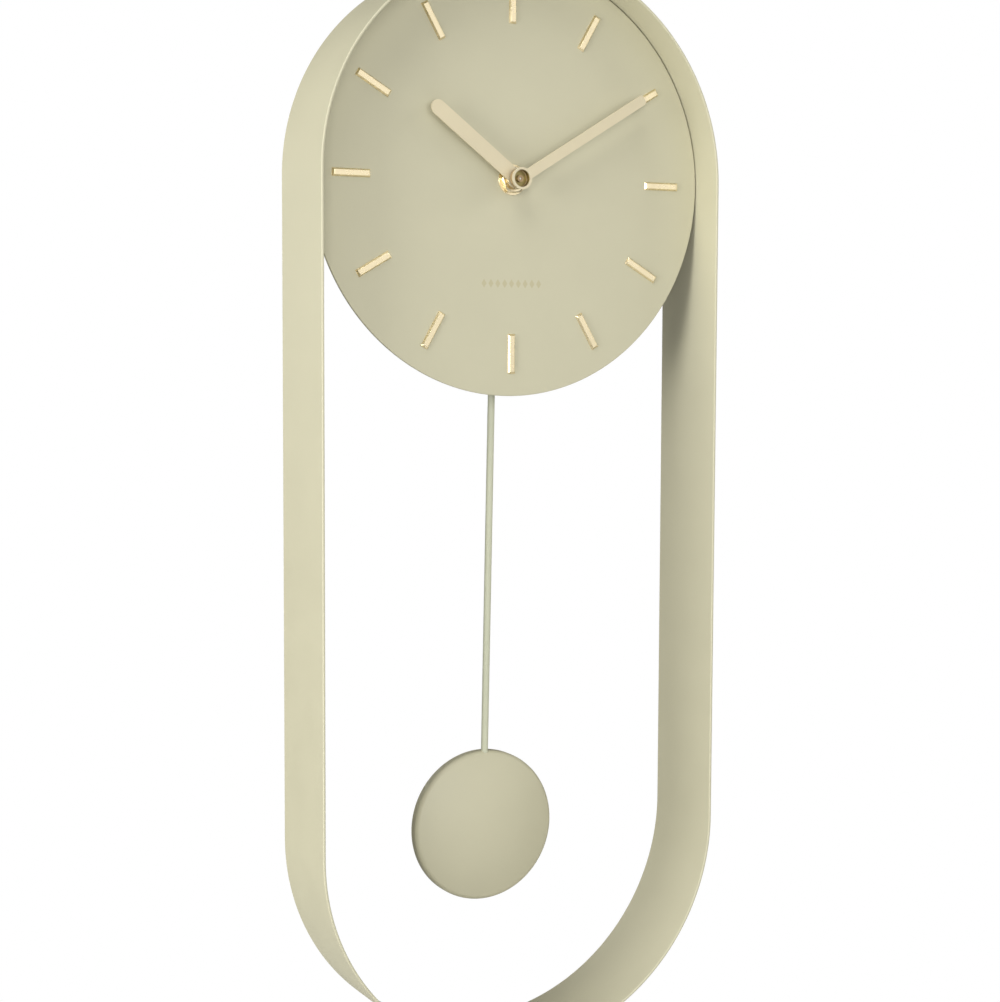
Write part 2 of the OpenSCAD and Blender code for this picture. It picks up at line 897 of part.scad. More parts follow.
module coil_bobbin() {
    color(acetal) at_dial() facing_at([0, -pivot_drop - magnet_drop], case_inside_y + bobbin_len) {
        ring(bobbin_core_r, coil_bore, bobbin_len);
        for (h = [0, bobbin_len - bobbin_t]) translate([0, 0, h]) ring(bobbin_r, coil_bore, bobbin_t);
    }
}

module drive_coil() {
    color(copper) at_dial()
        facing_at([0, -pivot_drop - magnet_drop], case_inside_y + bobbin_len - bobbin_t - press)
        ring(coil_r, bobbin_core_r + press, bobbin_len - 2 * bobbin_t - 2 * press);
}

module pivot_pin() {
    color(zinc) at_dial() facing_at([0, -pivot_drop], cover_back_y)
        cylinder(r = pin_r, h = cover_back_y - case_front_y - wall_t / 2 - pivot_gap);
}

// the plastic arm that turns on the pivot pin, carries the magnet and ends in a fork for the rod's eye
module swing_arm() {
    boss_t = 5.2;
    fork_w = 6;
    front_y = -swing_plane - cheek_gap / 2 - cheek_t;
    color(acetal) at_swing() difference() {
        union() {
            facing(-swing_plane + boss_t / 2) cylinder(r = pin_boss_r, h = boss_t);
            facing(-swing_plane + arm_t / 2) linear_extrude(arm_t)
                translate([-arm_plate_w / 2, -hook_drop + 5]) square([arm_plate_w, hook_drop - 5]);
            facing(-swing_plane + arm_t / 2) translate([0, -magnet_drop])
                cylinder(r = magnet_r + 1, h = arm_t);
            for (y = [front_y, -swing_plane + cheek_gap / 2])
                translate([-fork_w / 2, y, -hook_drop - 3]) cube([fork_w, cheek_t, 10]);
            translate([-fork_w / 2, front_y, -hook_drop + 5]) cube([fork_w, cheek_gap + 2 * cheek_t, 2]);
        }
        facing(0) cylinder(r = pin_hole, h = frame_d);
        facing(0) translate([0, -hook_drop]) cylinder(r = hook_pin_r + press, h = frame_d);
    }
}

module drive_magnet() {
    color(magnet_grey) at_swing() facing(-swing_plane - arm_t / 2) translate([0, -magnet_drop])
        cylinder(r = magnet_r, h = magnet_t);
}

module hook_pin() {
    len = cheek_gap + 2 * cheek_t + 0.6;
    color(zinc) at_swing() facing(-swing_plane + len / 2) translate([0, -hook_drop])
        cylinder(r = hook_pin_r, h = len);
}

// a round rod bent into a closed eye at its top
module pendulum_rod() {
    eye_r = eye_bore + rod_d / 2;
    drop = swing_len - hook_drop + rod_past;
    color(sage) at_swing() translate([0, -swing_plane, -hook_drop]) {
        rotate([90, 0, 0]) rotate_extrude() translate([eye_r, 0]) circle(rod_d / 2);
        translate([0, 0, -drop]) cylinder(r = rod_d / 2, h = drop - eye_r);
    }
}

module rod_sleeve() {
    color(zinc) at_swing() translate([0, -swing_plane, -swing_len - sleeve_len / 2])
        ring(sleeve_r, rod_d / 2 + press, sleeve_len);
}

// half section of a drum with a domed top and a rounded edge, about the Y axis of the sketch
module bob_section(r, wall, crown, fillet) {
    rise = crown - wall;
    ball_r = (r * r + rise * rise) / (2 * rise);
    ball_z = crown - ball_r;
    fillet_z = ball_z + sqrt(pow(ball_r - fillet, 2) - pow(r - fillet, 2));
    intersection() {
        translate([0, ball_z]) circle(ball_r, $fn = 360);
        polygon([
            [0, 0], [0, crown + 1],
            [(r - fillet) * 1.4, ball_z + (fillet_z - ball_z) * 1.4], [r - fillet, fillet_z]
        ]);
    }
    polygon([[0, 0], [r, 0], [r, fillet_z], [r - fillet, fillet_z]]);
    translate([r - fillet, fillet_z]) circle(fillet);
}

module at_bob() {
    at_swing() translate([0, 0, -swing_len]) facing(bob_back_y) children();
}

module bob_front() {
    color(sage) at_bob() difference() {
        rotate_extrude($fn = 180) bob_section(bob_r, bob_wall, bob_d, bob_fillet);
        translate([0, 0, -press]) rotate_extrude($fn = 180)
            bob_section(bob_r - bob_sheet, bob_wall - bob_sheet, bob_d - bob_sheet, bob_fillet - bob_sheet);
        translate([0, 0, swing_plane + bob_back_y]) rotate([-90, 0, 0])
            cylinder(r = rod_d / 2 + rod_gap, h = bob_r + cut);
    }
}

module bob_back() {
    color(sage) at_bob() cylinder(r = bob_r - bob_sheet - press, h = bob_sheet);
}

frame_band();
hanger_bar();
hanger_tabs();
dial_brackets();
dial_plate();
dial_studs();
stud_washers();
stud_nuts();
hour_markers();
rubber_gasket();
movement_case();
movement_cover();
cover_screws();
middle_plate();
train_plate();
threaded_bushing();
dial_washer();
hex_nut();
hour_wheel();
hour_collet();
hour_hand();
minute_arbor();
centre_wheel();
minute_hand();
minute_hand_cap();
minute_wheel();
setting_knob();
third_wheel();
seconds_wheel();
fifth_wheel();
rotor_pinion();
rotor_magnet();
stator();
coil_core();
motor_coil();
circuit_board();
chip();
quartz_crystal();
battery();
positive_contact();
negative_contact();
coil_bobbin();
drive_coil();
pivot_pin();
swing_arm();
drive_magnet();
hook_pin();
pendulum_rod();
rod_sleeve();
bob_front();
bob_back();
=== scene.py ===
"""Pendulum wall clock: the looks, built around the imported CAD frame.

Everything is in metres in the frame of the CAD part: X right as seen from the front, the dial faces -Y,
Z up, and the origin is the keyhole of the hanger bar on the wall plane.
"""

import json
import math

import bmesh
import bpy
from mathutils import Matrix, Vector
from mathutils.geometry import tessellate_polygon


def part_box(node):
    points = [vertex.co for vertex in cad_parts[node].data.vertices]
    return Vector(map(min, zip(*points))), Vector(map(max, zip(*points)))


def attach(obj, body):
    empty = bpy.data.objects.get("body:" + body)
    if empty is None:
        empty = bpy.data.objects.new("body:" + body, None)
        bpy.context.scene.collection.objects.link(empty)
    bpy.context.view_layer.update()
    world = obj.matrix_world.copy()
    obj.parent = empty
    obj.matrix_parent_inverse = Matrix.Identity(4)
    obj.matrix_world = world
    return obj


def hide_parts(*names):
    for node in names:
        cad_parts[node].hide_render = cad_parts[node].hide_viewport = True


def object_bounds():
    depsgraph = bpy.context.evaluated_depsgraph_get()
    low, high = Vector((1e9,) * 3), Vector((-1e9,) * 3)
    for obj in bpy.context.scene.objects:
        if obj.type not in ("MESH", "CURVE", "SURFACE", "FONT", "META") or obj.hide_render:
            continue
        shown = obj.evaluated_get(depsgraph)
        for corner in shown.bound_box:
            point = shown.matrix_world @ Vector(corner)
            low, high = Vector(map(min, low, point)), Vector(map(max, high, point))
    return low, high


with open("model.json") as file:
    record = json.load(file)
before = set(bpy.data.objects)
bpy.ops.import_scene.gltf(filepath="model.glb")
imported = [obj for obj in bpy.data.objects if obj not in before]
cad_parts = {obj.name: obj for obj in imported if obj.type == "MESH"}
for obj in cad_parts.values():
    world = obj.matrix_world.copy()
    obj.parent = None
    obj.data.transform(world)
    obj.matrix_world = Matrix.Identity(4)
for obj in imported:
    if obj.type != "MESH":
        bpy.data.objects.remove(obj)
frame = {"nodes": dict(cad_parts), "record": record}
CAD_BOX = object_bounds()
NODES = frame["nodes"]
MM = 0.001
UM = 0.000001


# ---- places taken from the frame ----

def middle(node):
    low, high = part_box(node)
    return (low + high) / 2


def half_width(node):
    low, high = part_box(node)
    return (high.x - low.x) / 2


def depth_range(node):
    """The node's back and front along Y: the back has the higher Y, nearer the wall."""
    low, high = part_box(node)
    return high.y, low.y


DIAL_BACK_Y, DIAL_Y = depth_range("dial_plate")
CENTRE = Vector((middle("dial_plate").x, DIAL_Y, middle("dial_plate").z))
BOB = middle("bob_back")


# ---- mesh building ----

def add_mesh(name, verts, faces):
    mesh = bpy.data.meshes.new(name)
    mesh.from_pydata([tuple(v) for v in verts], [], faces)
    mesh.validate()
    obj = bpy.data.objects.new(name, mesh)
    bpy.context.scene.collection.objects.link(obj)
    return obj


def finish_surface(obj, sharp_deg=50.0, bevel=0.0, steps=2):
    """Smooth shading with true flats, and a small rounding along every sharp edge where bevel is given."""
    keep_sharp_from = sharp_deg
    if bevel:
        keep_sharp_from += 5.0
        edge = obj.modifiers.new("edge rounding", "BEVEL")
        edge.width = bevel
        edge.segments = steps
        edge.limit_method = "ANGLE"
        edge.angle_limit = math.radians(sharp_deg)
        edge.harden_normals = False
    for poly in obj.data.polygons:
        poly.use_smooth = True
    obj.data.set_sharp_from_angle(angle=math.radians(keep_sharp_from))
    flats = obj.modifiers.new("flat faces", "WEIGHTED_NORMAL")
    flats.keep_sharp = True
    flats.weight = 100
    return obj


MOST_OF_A_SIDE = 0.49  # a corner's rounding takes up no more of the side next to it
ON_AXIS = 1e-9


def fillet(points, radius, steps=4):
    """Rounds each corner of a closed outline. The radius is one number, or one for each corner."""
    radii = radius if isinstance(radius, (list, tuple)) else [radius] * len(points)
    out = []
    for i, (point, r) in enumerate(zip(points, radii)):
        here = Vector(point)
        to_last = Vector(points[i - 1]) - here
        to_next = Vector(points[(i + 1) % len(points)]) - here
        if r <= 0.0:
            out.append(tuple(here))
            continue
        half = to_last.angle(to_next) / 2
        reach = min(r / math.tan(half), MOST_OF_A_SIDE * to_last.length, MOST_OF_A_SIDE * to_next.length)
        r = reach * math.tan(half)
        a, b = to_last.normalized(), to_next.normalized()
        hub = here + (a + b).normalized() * r / math.sin(half)
        start, end = here + a * reach - hub, here + b * reach - hub
        first = math.atan2(start.y, start.x)
        sweep = (math.atan2(end.y, end.x) - first + math.pi) % (2 * math.pi) - math.pi
        for k in range(steps + 1):
            turn = first + sweep * k / steps
            out.append((hub.x + r * math.cos(turn), hub.y + r * math.sin(turn)))
    return out


def lathe(name, profile, at=CENTRE, segments=128):
    """Turns a closed profile of (radius, y) points about the Y axis through the point at."""
    verts, rings = [], []
    for r, y in profile:
        if r < ON_AXIS:
            rings.append([len(verts)] * segments)
            verts.append((at.x, y, at.z))
            continue
        rings.append(list(range(len(verts), len(verts) + segments)))
        for k in range(segments):
            turn = 2 * math.pi * k / segments
            verts.append((at.x + r * math.sin(turn), y, at.z + r * math.cos(turn)))
    faces = []
    for one, two in zip(rings, rings[1:] + rings[:1]):
        for k in range(segments):
            n = (k + 1) % segments
            corner = [one[k], one[n], two[n], two[k]]
            face = [v for i, v in enumerate(corner) if v != corner[i - 1]]
            if len(face) > 2:
                faces.append(face)
    return face_outward(add_mesh(name, verts, faces))


def loft_ring(name, sections):
    """Joins closed sections, each a list of points, one to the next and the last to the first."""
    n, m = len(sections), len(sections[0])
    faces = []
    for i in range(n):
        a, b = i * m, (i + 1) % n * m
        faces += [(a + k, a + (k + 1) % m, b + (k + 1) % m, b + k) for k in range(m)]
    return face_outward(add_mesh(name, [point for section in sections for point in section], faces))


def face_outward(obj):
    bm = bmesh.new()
    bm.from_mesh(obj.data)
    bmesh.ops.recalc_face_normals(bm, faces=bm.faces)
    bm.to_mesh(obj.data)
    bm.free()
    return obj


def plate(name, loops, y_back, y_front):
    """A flat plate: the first loop of (x, z) points is its outline and the others are holes."""
    points = [p for loop in loops for p in loop]
    count = len(points)
    fill = tessellate_polygon([[Vector((x, z, 0)) for x, z in loop] for loop in loops])
    verts = [(x, y_back, z) for x, z in points] + [(x, y_front, z) for x, z in points]
    faces = list(fill) + [tuple(i + count for i in reversed(tri)) for tri in fill]
    start = 0
    for loop in loops:
        for k in range(len(loop)):
            n = (k + 1) % len(loop)
            faces.append((start + k, start + n, start + n + count, start + k + count))
        start += len(loop)
    return face_outward(add_mesh(name, verts, faces))


def arc(cx, cz, r, start, end, steps):
    """Points on a circle, angles in degrees clockwise from straight up as seen from the front."""
    turns = [math.radians(start + (end - start) * k / steps) for k in range(steps + 1)]
    return [(cx + r * math.sin(t), cz + r * math.cos(t)) for t in turns]


def turned(points, angle):
    """Turns (x, z) points clockwise about the origin and moves them to the dial's centre."""
    s, c = math.sin(angle), math.cos(angle)
    return [(CENTRE.x + x * c + z * s, CENTRE.z - x * s + z * c) for x, z in points]


# ---- materials ----

def new_material(name):
    mat = bpy.data.materials.new(name)
    mat.use_nodes = True
    tree = mat.node_tree
    return mat, tree, tree.nodes["Principled BSDF"]


NOISE_LOW, NOISE_HIGH = 0.3, 0.7  # nearly all of a noise lies between these
GRAIN_STRENGTH = 0.35


def noise(tree, scale, detail=3.0, rough=0.5, stretch=(1, 1, 1)):
    """Noise over the piece's own coordinates, in cycles per metre."""
    coords = tree.nodes.new("ShaderNodeTexCoord")
    mapping = tree.nodes.new("ShaderNodeMapping")
    mapping.inputs["Scale"].default_value = stretch
    tree.links.new(coords.outputs["Object"], mapping.inputs["Vector"])
    node = tree.nodes.new("ShaderNodeTexNoise")
    node.inputs["Scale"].default_value = scale
    node.inputs["Detail"].default_value = detail
    node.inputs["Roughness"].default_value = rough
    tree.links.new(mapping.outputs["Vector"], node.inputs["Vector"])
    return node.outputs["Fac"]


def tint(tree, value, dark, light):
    ramp = tree.nodes.new("ShaderNodeValToRGB")
    ramp.color_ramp.elements[0].position = NOISE_LOW
    ramp.color_ramp.elements[0].color = (*dark, 1)
    ramp.color_ramp.elements[1].position = NOISE_HIGH
    ramp.color_ramp.elements[1].color = (*light, 1)
    tree.links.new(value, ramp.inputs["Fac"])
    return ramp.outputs["Color"]


def spread(tree, value, low, high):
    """Maps the middle of a noise to the range low to high."""
    node = tree.nodes.new("ShaderNodeMapRange")
    node.inputs["From Min"].default_value = NOISE_LOW
    node.inputs["From Max"].default_value = NOISE_HIGH
    node.inputs["To Min"].default_value = low
    node.inputs["To Max"].default_value = high
    tree.links.new(value, node.inputs["Value"])
    return node.outputs["Result"]


def bump(tree, shader, value, distance):
    node = tree.nodes.new("ShaderNodeBump")
    node.inputs["Strength"].default_value = GRAIN_STRENGTH
    node.inputs["Distance"].default_value = distance
    tree.links.new(value, node.inputs["Height"])
    tree.links.new(node.outputs["Normal"], shader.inputs["Normal"])


def scaled(color, k):
    return tuple(min(1.0, c * k) for c in color)


def surface(name, color, vary, rough, grain, depth, metallic=0.0, patch=40.0, stretch=(1, 1, 1)):
    """One finish: patchy colour, uneven roughness and a fine grain.

    vary is the colour's share of change and rough a (low, high) pair. patch and grain are the scales of the
    broad and the fine noise, in cycles per metre, and depth is the grain's height.
    """
    mat, tree, shader = new_material(name)
    shader.inputs["Metallic"].default_value = metallic
    broad = noise(tree, patch, 4.0, 0.6, stretch)
    fine = noise(tree, grain, 2.0, 0.5, stretch)
    mottled = tint(tree, broad, scaled(color, 1 - vary), scaled(color, 1 + vary))
    tree.links.new(mottled, shader.inputs["Base Color"])
    tree.links.new(spread(tree, broad, *rough), shader.inputs["Roughness"])
    bump(tree, shader, fine, depth)
    return mat


SAGE = (0.50, 0.475, 0.335)
# painted light: the sage made lighter for the pendulum rod, for the white it reflects
SAGE_PAINTED_LIGHT = (0.565, 0.575, 0.43)
INK = (0.45, 0.41, 0.26)
GOLD = (0.93, 0.80, 0.53)
CHAMPAGNE = (0.66, 0.585, 0.405)
# painted shade and painted reflection: a browner, darker brass than the gold, for the minute cup and the
# minute arbor
CUP_BRASS_PAINTED_SHADE = (0.42, 0.30, 0.16)
# painted shade: a dark brass for the thin sheet inside the minute cup's bore
BORE_PAINTED_SHADE = (0.30, 0.24, 0.10)
ZINC = (0.62, 0.64, 0.67)
COPPER_FLASH = (0.74, 0.42, 0.27)
RUBBER = (0.022, 0.022, 0.022)
BLACK_ABS = (0.020, 0.020, 0.022)
ACETAL = (0.78, 0.77, 0.70)
OFF_WHITE = (0.80, 0.79, 0.75)
NICKEL = (0.55, 0.54, 0.52)
SILICON_STEEL = (0.40, 0.41, 0.43)
ENAMELLED_COPPER = (0.62, 0.24, 0.09)
MASK_GREEN = (0.02, 0.16, 0.07)
RESIN = (0.012, 0.012, 0.012)
SLEEVE_GREEN = (0.05, 0.17, 0.13)


def powder_coat():
    return surface("sage powder coat", SAGE, 0.012, (0.46, 0.56), 1600.0, 20 * UM)


# painted light on the rod's sage
def rod_painted_light():
    return surface("sage with painted light on the rod", SAGE_PAINTED_LIGHT, 0.015, (0.34, 0.42), 1600.0, 10 * UM)


def ornament_ink():
    return surface("ornament ink", INK, 0.01, (0.4, 0.5), 1500.0, 10 * UM)


def polished_gold():
    return surface("polished gold", GOLD, 0.03, (0.24, 0.32), 900.0, 3 * UM, metallic=1.0, patch=250.0)


def satin_gold():
    return surface("satin gold", CHAMPAGNE, 0.02, (0.45, 0.55), 1500.0, 10 * UM, metallic=0.5, patch=120.0)


# painted shade and painted reflection on the minute cup and the minute arbor
def cup_brass_painted_shade():
    return surface("cup brass with painted shade", CUP_BRASS_PAINTED_SHADE, 0.04, (0.38, 0.48), 900.0, 10 * UM, metallic=0.6, patch=250.0)


# painted shade for the hollow of the minute cup's bore
def bore_painted_shade():
    return surface("bore brass with painted shade", BORE_PAINTED_SHADE, 0.05, (0.3, 0.4), 900.0, 10 * UM, metallic=1.0, patch=250.0)


def zinc():
    return surface("zinc plate", ZINC, 0.08, (0.25, 0.42), 1200.0, 10 * UM, metallic=1.0, patch=180.0)


def coppered():
    return surface("coppered steel", COPPER_FLASH, 0.08, (0.3, 0.45), 1200.0, 10 * UM, metallic=1.0,
                   patch=200.0)


def rubber():
    return surface("black rubber", RUBBER, 0.15, (0.7, 0.85), 1800.0, 50 * UM)


def abs_black():
    return surface("black ABS", BLACK_ABS, 0.12, (0.42, 0.55), 1500.0, 40 * UM)


def acetal():
    return surface("natural acetal", ACETAL, 0.02, (0.32, 0.42), 900.0, 10 * UM)


def white_moulding():
    return surface("white moulding", OFF_WHITE, 0.015, (0.28, 0.38), 900.0, 10 * UM)


def magnet():
    return surface("nickel magnet", NICKEL, 0.06, (0.18, 0.3), 800.0, 8 * UM, metallic=1.0, patch=300.0)


def lamination():
    return surface("silicon steel", SILICON_STEEL, 0.07, (0.35, 0.5), 900.0, 10 * UM, metallic=1.0,
                   stretch=(0.15, 1, 1))


def copper_wire():
    return surface("enamelled copper", ENAMELLED_COPPER, 0.08, (0.25, 0.35), 1500.0, 10 * UM, metallic=0.9,
                   patch=400.0)


def solder_mask():
    return surface("green solder mask", MASK_GREEN, 0.1, (0.25, 0.35), 1200.0, 10 * UM, patch=300.0)


def chip_resin():
    return surface("black resin", RESIN, 0.1, (0.15, 0.3), 1000.0, 20 * UM, patch=300.0)


def battery_wrap():
    return surface("battery wrap", SLEEVE_GREEN, 0.04, (0.2, 0.3), 700.0, 10 * UM, patch=150.0)


SLOT_MATERIALS = {
    "sage_powder_coat": powder_coat(),
    "polished_gold": polished_gold(),
    "satin_gold": satin_gold(),
    "zinc_steel": zinc(),
    "coppered_steel": coppered(),
    "black_rubber": rubber(),
    "black_abs": abs_black(),
    "natural_acetal": acetal(),
    "white_plastic": white_moulding(),
    "magnet_alloy": magnet(),
    "silicon_steel": lamination(),
    "copper_wire": copper_wire(),
    "board_green": solder_mask(),
    "chip_resin": chip_resin(),
    "battery_wrap": battery_wrap(),
}

# finishes of single pieces that differ a little from their slot's: the ornament's print, painted shade and
# painted reflection on the minute cup, arbor and bore, and painted light on the rod
OWN_MATERIALS = {
    "dial_ornament": ornament_ink(),
    "minute_arbor": cup_brass_painted_shade(),
    "minute_cup": cup_brass_painted_shade(),
    "minute_cup_bore_shade": bore_painted_shade(),
    "pendulum_rod": rod_painted_light(),
}


def paint(obj, piece_name, slot_name):
    obj.data.materials.clear()
    obj.data.materials.append(OWN_MATERIALS.get(piece_name, SLOT_MATERIALS[slot_name]))


def dress(obj, slot_name, body, *nodes):
    """Gives a new piece its finish and its body, and hides the CAD nodes that it stands for."""
    paint(obj, obj.name, slot_name)
    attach(obj, body)
    if nodes:
        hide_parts(*nodes)


# ---- CAD nodes that keep their shape ----

EDGE_ROUNDINGS = {
    "hour_markers": 0.15 * MM,
    "hanger_bar": 0.2 * MM,
    "hanger_tabs": 0.2 * MM,
    "dial_brackets": 0.2 * MM,
    "movement_case": 0.3 * MM,
    "movement_cover": 0.3 * MM,
    "cover_screws": 0.12 * MM,
    "stud_nuts": 0.15 * MM,
    "stud_washers": 0.08 * MM,
    "dial_studs": 0.15 * MM,
    "setting_knob": 0.2 * MM,
    "swing_arm": 0.25 * MM,
    "battery": 0.4 * MM,
    "coil_bobbin": 0.15 * MM,
    "drive_coil": 0.15 * MM,
    "drive_magnet": 0.2 * MM,
    "pivot_pin": 0.1 * MM,
    "hook_pin": 0.15 * MM,
    "rod_sleeve": 0.15 * MM,
    "bob_back": 0.15 * MM,
    "pendulum_rod": 0.2 * MM,
}
WELD_REACH = 2 * UM
ROUNDED_FROM = math.radians(28.0)


def dress_cad_nodes():
    slots = {part["node"]: part["material_slot"] for part in frame["record"]["subparts"]}
    for node, obj in NODES.items():
        paint(obj, node, slots[node])
        weld = obj.modifiers.new("joined faces", "WELD")
        weld.merge_threshold = WELD_REACH
        if node in EDGE_ROUNDINGS:
            edge = obj.modifiers.new("edge rounding", "BEVEL")
            edge.width = EDGE_ROUNDINGS[node]
            edge.segments = 2
            edge.limit_method = "ANGLE"
            edge.angle_limit = ROUNDED_FROM


# ---- frame and dial ----

BAND_T = 1.2 * MM
DIAL_BORE = 4.2 * MM


def band():
    """The rolled strip: a rectangle with rounded edges swept around the stadium."""
    low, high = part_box("frame_band")
    outer = (high.x - low.x) / 2
    inner = outer - BAND_T
    top, bottom = high.z - outer, low.z + outer
    edge = 0.45 * MM
    strip = fillet([(inner, high.y), (outer, high.y), (outer, low.y), (inner, low.y)], edge, 5)
    arc_steps, straight_steps = 128, 24
    half_turn = [math.pi * k / arc_steps for k in range(arc_steps + 1)]
    straight = [k / straight_steps for k in range(1, straight_steps)]
    path = [(top, turn - math.pi / 2) for turn in half_turn]
    path += [(top + (bottom - top) * t, math.pi / 2) for t in straight]
    path += [(bottom, turn + math.pi / 2) for turn in half_turn]
    path += [(bottom + (top - bottom) * t, 3 * math.pi / 2) for t in straight]
    sections = [[(r * math.sin(turn), y, z + r * math.cos(turn)) for r, y in strip] for z, turn in path]
    obj = loft_ring("band_strip", sections)
    dress(finish_surface(obj), "sage_powder_coat", "case", "frame_band")


def dial():
    r = half_width("dial_plate")
    edge = 0.35 * MM
    outline = [(DIAL_BORE, DIAL_BACK_Y), (r, DIAL_BACK_Y), (r, DIAL_Y), (DIAL_BORE, DIAL_Y)]
    obj = lathe("dial_disc", fillet(outline, edge, 4), segments=256)
    dress(finish_surface(obj), "sage_powder_coat", "case", "dial_plate")


def ornament():
    """A plain row of small lozenges printed tone on tone above the six o'clock marker."""
    count, pitch, half_w, half_h = 9, 3.5 * MM, 1.3 * MM, 2.0 * MM
    drop, ink = 47.0 * MM, 0.03 * MM
    verts, faces = [], []
    for k in range(count):
        x, z = CENTRE.x + (k - (count - 1) / 2) * pitch, CENTRE.z - drop
        rim = [(x - half_w, z), (x, z + half_h), (x + half_w, z), (x, z - half_h)]
        start = len(verts)
        verts += [(px, DIAL_Y, pz) for px, pz in rim] + [(px, DIAL_Y - ink, pz) for px, pz in rim]
        faces += [tuple(start + i for i in side) for side in ((0, 1, 2, 3), (7, 6, 5, 4))]
        faces += [(start + i, start + (i + 1) % 4, start + 4 + (i + 1) % 4, start + 4 + i) for i in range(4)]
    dress(face_outward(add_mesh("dial_ornament", verts, faces)), "sage_powder_coat", "case")


# ---- hub ----

def washer():
    back, front = depth_range("dial_washer")
    r = half_width("dial_washer")
    edge = 0.15 * MM
    profile = fillet([(DIAL_BORE, back), (r, back), (r, front), (DIAL_BORE, front)], edge, 4)
    obj = lathe("washer_turned", profile, segments=96)
    dress(finish_surface(obj), "polished_gold", "case", "dial_washer")


def bushing():
    """The movement's threaded neck: smooth behind the dial, with V-shaped ridges in front of it."""
    back, front = depth_range("threaded_bushing")
    r, bore = half_width("threaded_bushing"), 2.5 * MM
    pitch, depth, chamfer = 0.75 * MM, 0.42 * MM, 0.4 * MM
    points = [(bore, back), (r, back)]
    y = DIAL_Y - chamfer
    while y - pitch > front + chamfer:
        points += [(r, y), (r - depth, y - pitch / 2)]
        y -= pitch
    points += [(r, y), (r, front + chamfer), (r - chamfer, front), (bore, front)]
    obj = lathe("bushing_thread", points)
    dress(finish_surface(obj, 20.0), "polished_gold", "case", "threaded_bushing")


def hex_nut():
    """A chamfered hexagon nut: the chamfer cone cuts each flat along an arc."""
    back, front = depth_range("hex_nut")
    across_flats = 11.5 * MM
    flat = across_flats / 2
    bore, bore_chamfer = 4.05 * MM, 0.3 * MM
    chamfer_r = flat * 0.97
    corner_r = flat * 1.12
    slope = math.tan(math.radians(28.0))
    segments = 180
    sections = []
    for k in range(segments):
        degrees = 360.0 * k / segments
        turn = math.radians(degrees)
        off_flat = math.radians((degrees + 30.0) % 60.0 - 30.0)
        reach = min(flat / math.cos(off_flat), corner_r)
        drop = (reach - chamfer_r) * slope
        rows = [(bore + bore_chamfer, front), (chamfer_r, front), (reach, front + drop), (reach, back - drop),
                (chamfer_r, back), (bore, back), (bore, front + bore_chamfer)]
        sections.append([(CENTRE.x + r * math.sin(turn), y, CENTRE.z + r * math.cos(turn)) for r, y in rows])
    obj = loft_ring("nut_hexagon", sections)
    dress(finish_surface(obj, 25.0, 0.12 * MM), "polished_gold", "case", "hex_nut")


def collet():
    """The hour hand's flanged tube."""
    back, front = depth_range("hour_collet")
    bore, tube, flange = 2.46 * MM, 3.3 * MM, half_width("hour_collet")
    step = back - 0.6 * MM
    outline = [(bore, back), (flange, back), (flange, step), (tube, step), (tube, front), (bore, front)]
    profile = fillet(outline, [0, 0.15 * MM, 0.15 * MM, 0, 0.2 * MM, 0.2 * MM], 4)
    dress(finish_surface(lathe("collet_turned", profile)), "polished_gold", "hour", "hour_collet")


def minute_cup():
    """The cup at the minute hand's middle, and a thin darker sheet inside its bore: painted shade in the
    hollow.
    """
    back, front = depth_range("minute_hand_cap")
    r, bore, pipe = half_width("minute_hand_cap"), 3.9 * MM, 1.56 * MM
    floor_y = back - 0.7 * MM
    outline = [(pipe, back), (r, back), (r, front), (bore, front), (bore, floor_y), (pipe, floor_y)]
    profile = fillet(outline, [0, 0.7 * MM, 0.1 * MM, 0.1 * MM, 0.5 * MM, 0.1 * MM], 5)
    # the cup takes a darker brown brass of its own: painted shade and painted reflection
    cup = finish_surface(lathe("minute_cup", profile))
    dress(cup, "polished_gold", "minute", "minute_hand_cap")
    # a thin dark sheet laid inside the bore: painted shade
    skin = 0.04 * MM
    skin_r, skin_y = bore - skin, floor_y - skin
    shade_lining = [(pipe, floor_y), (bore, floor_y), (bore, front),
              (skin_r, front), (skin_r, skin_y), (pipe, skin_y)]
    dress(finish_surface(lathe("minute_cup_bore_shade", shade_lining)), "polished_gold", "minute")


# ---- hands ----

HUB_STEPS = 72


def hand_outline(reach, width, hub, corner):
    """A straight bar from a round hub, with its tip's corners rounded."""
    half = width / 2
    meet = math.degrees(math.asin(half / hub))
    outline = arc(0.0, 0.0, hub, meet, 360.0 - meet, HUB_STEPS)
    tip = [(-half, reach), (half, reach)]
    left_base, right_base = outline[-1], outline[0]
    rounded = fillet([left_base, tip[0], tip[1], right_base], [0, corner, corner, 0], 12)
    return outline[1:-1] + rounded


def hand(name, node, body, width, hub, hole, corner, angle):
    """One hand, out to the reach of its CAD node, with a round hole at its hub."""
    back, front = depth_range(node)
    axis_x, axis_z = CENTRE.x, CENTRE.z
    reach = max(math.hypot(v.co.x - axis_x, v.co.z - axis_z) for v in NODES[node].data.vertices)
    if corner < width / 2:
        reach = math.sqrt(reach ** 2 - (width / 2 - corner) ** 2)
    outline = hand_outline(reach, width, hub, corner)
    inside = arc(0.0, 0.0, hole, 360.0, 360.0 / HUB_STEPS, HUB_STEPS - 1)
    obj = plate(name, [turned(outline, angle), turned(inside, angle)], back, front)
    dress(finish_surface(obj, 40.0, 0.14 * MM, 3), "satin_gold", body, node)


def hands():
    hand("hour_blade", "hour_hand", "hour", width=7.0 * MM, hub=4.6 * MM, hole=3.31 * MM,
         corner=3.49 * MM, angle=math.radians(-53.0))
    hand("minute_blade", "minute_hand", "minute", width=4.8 * MM, hub=5.0 * MM, hole=3.9 * MM,
         corner=1.4 * MM, angle=math.radians(58.5))


# ---- pendulum ----

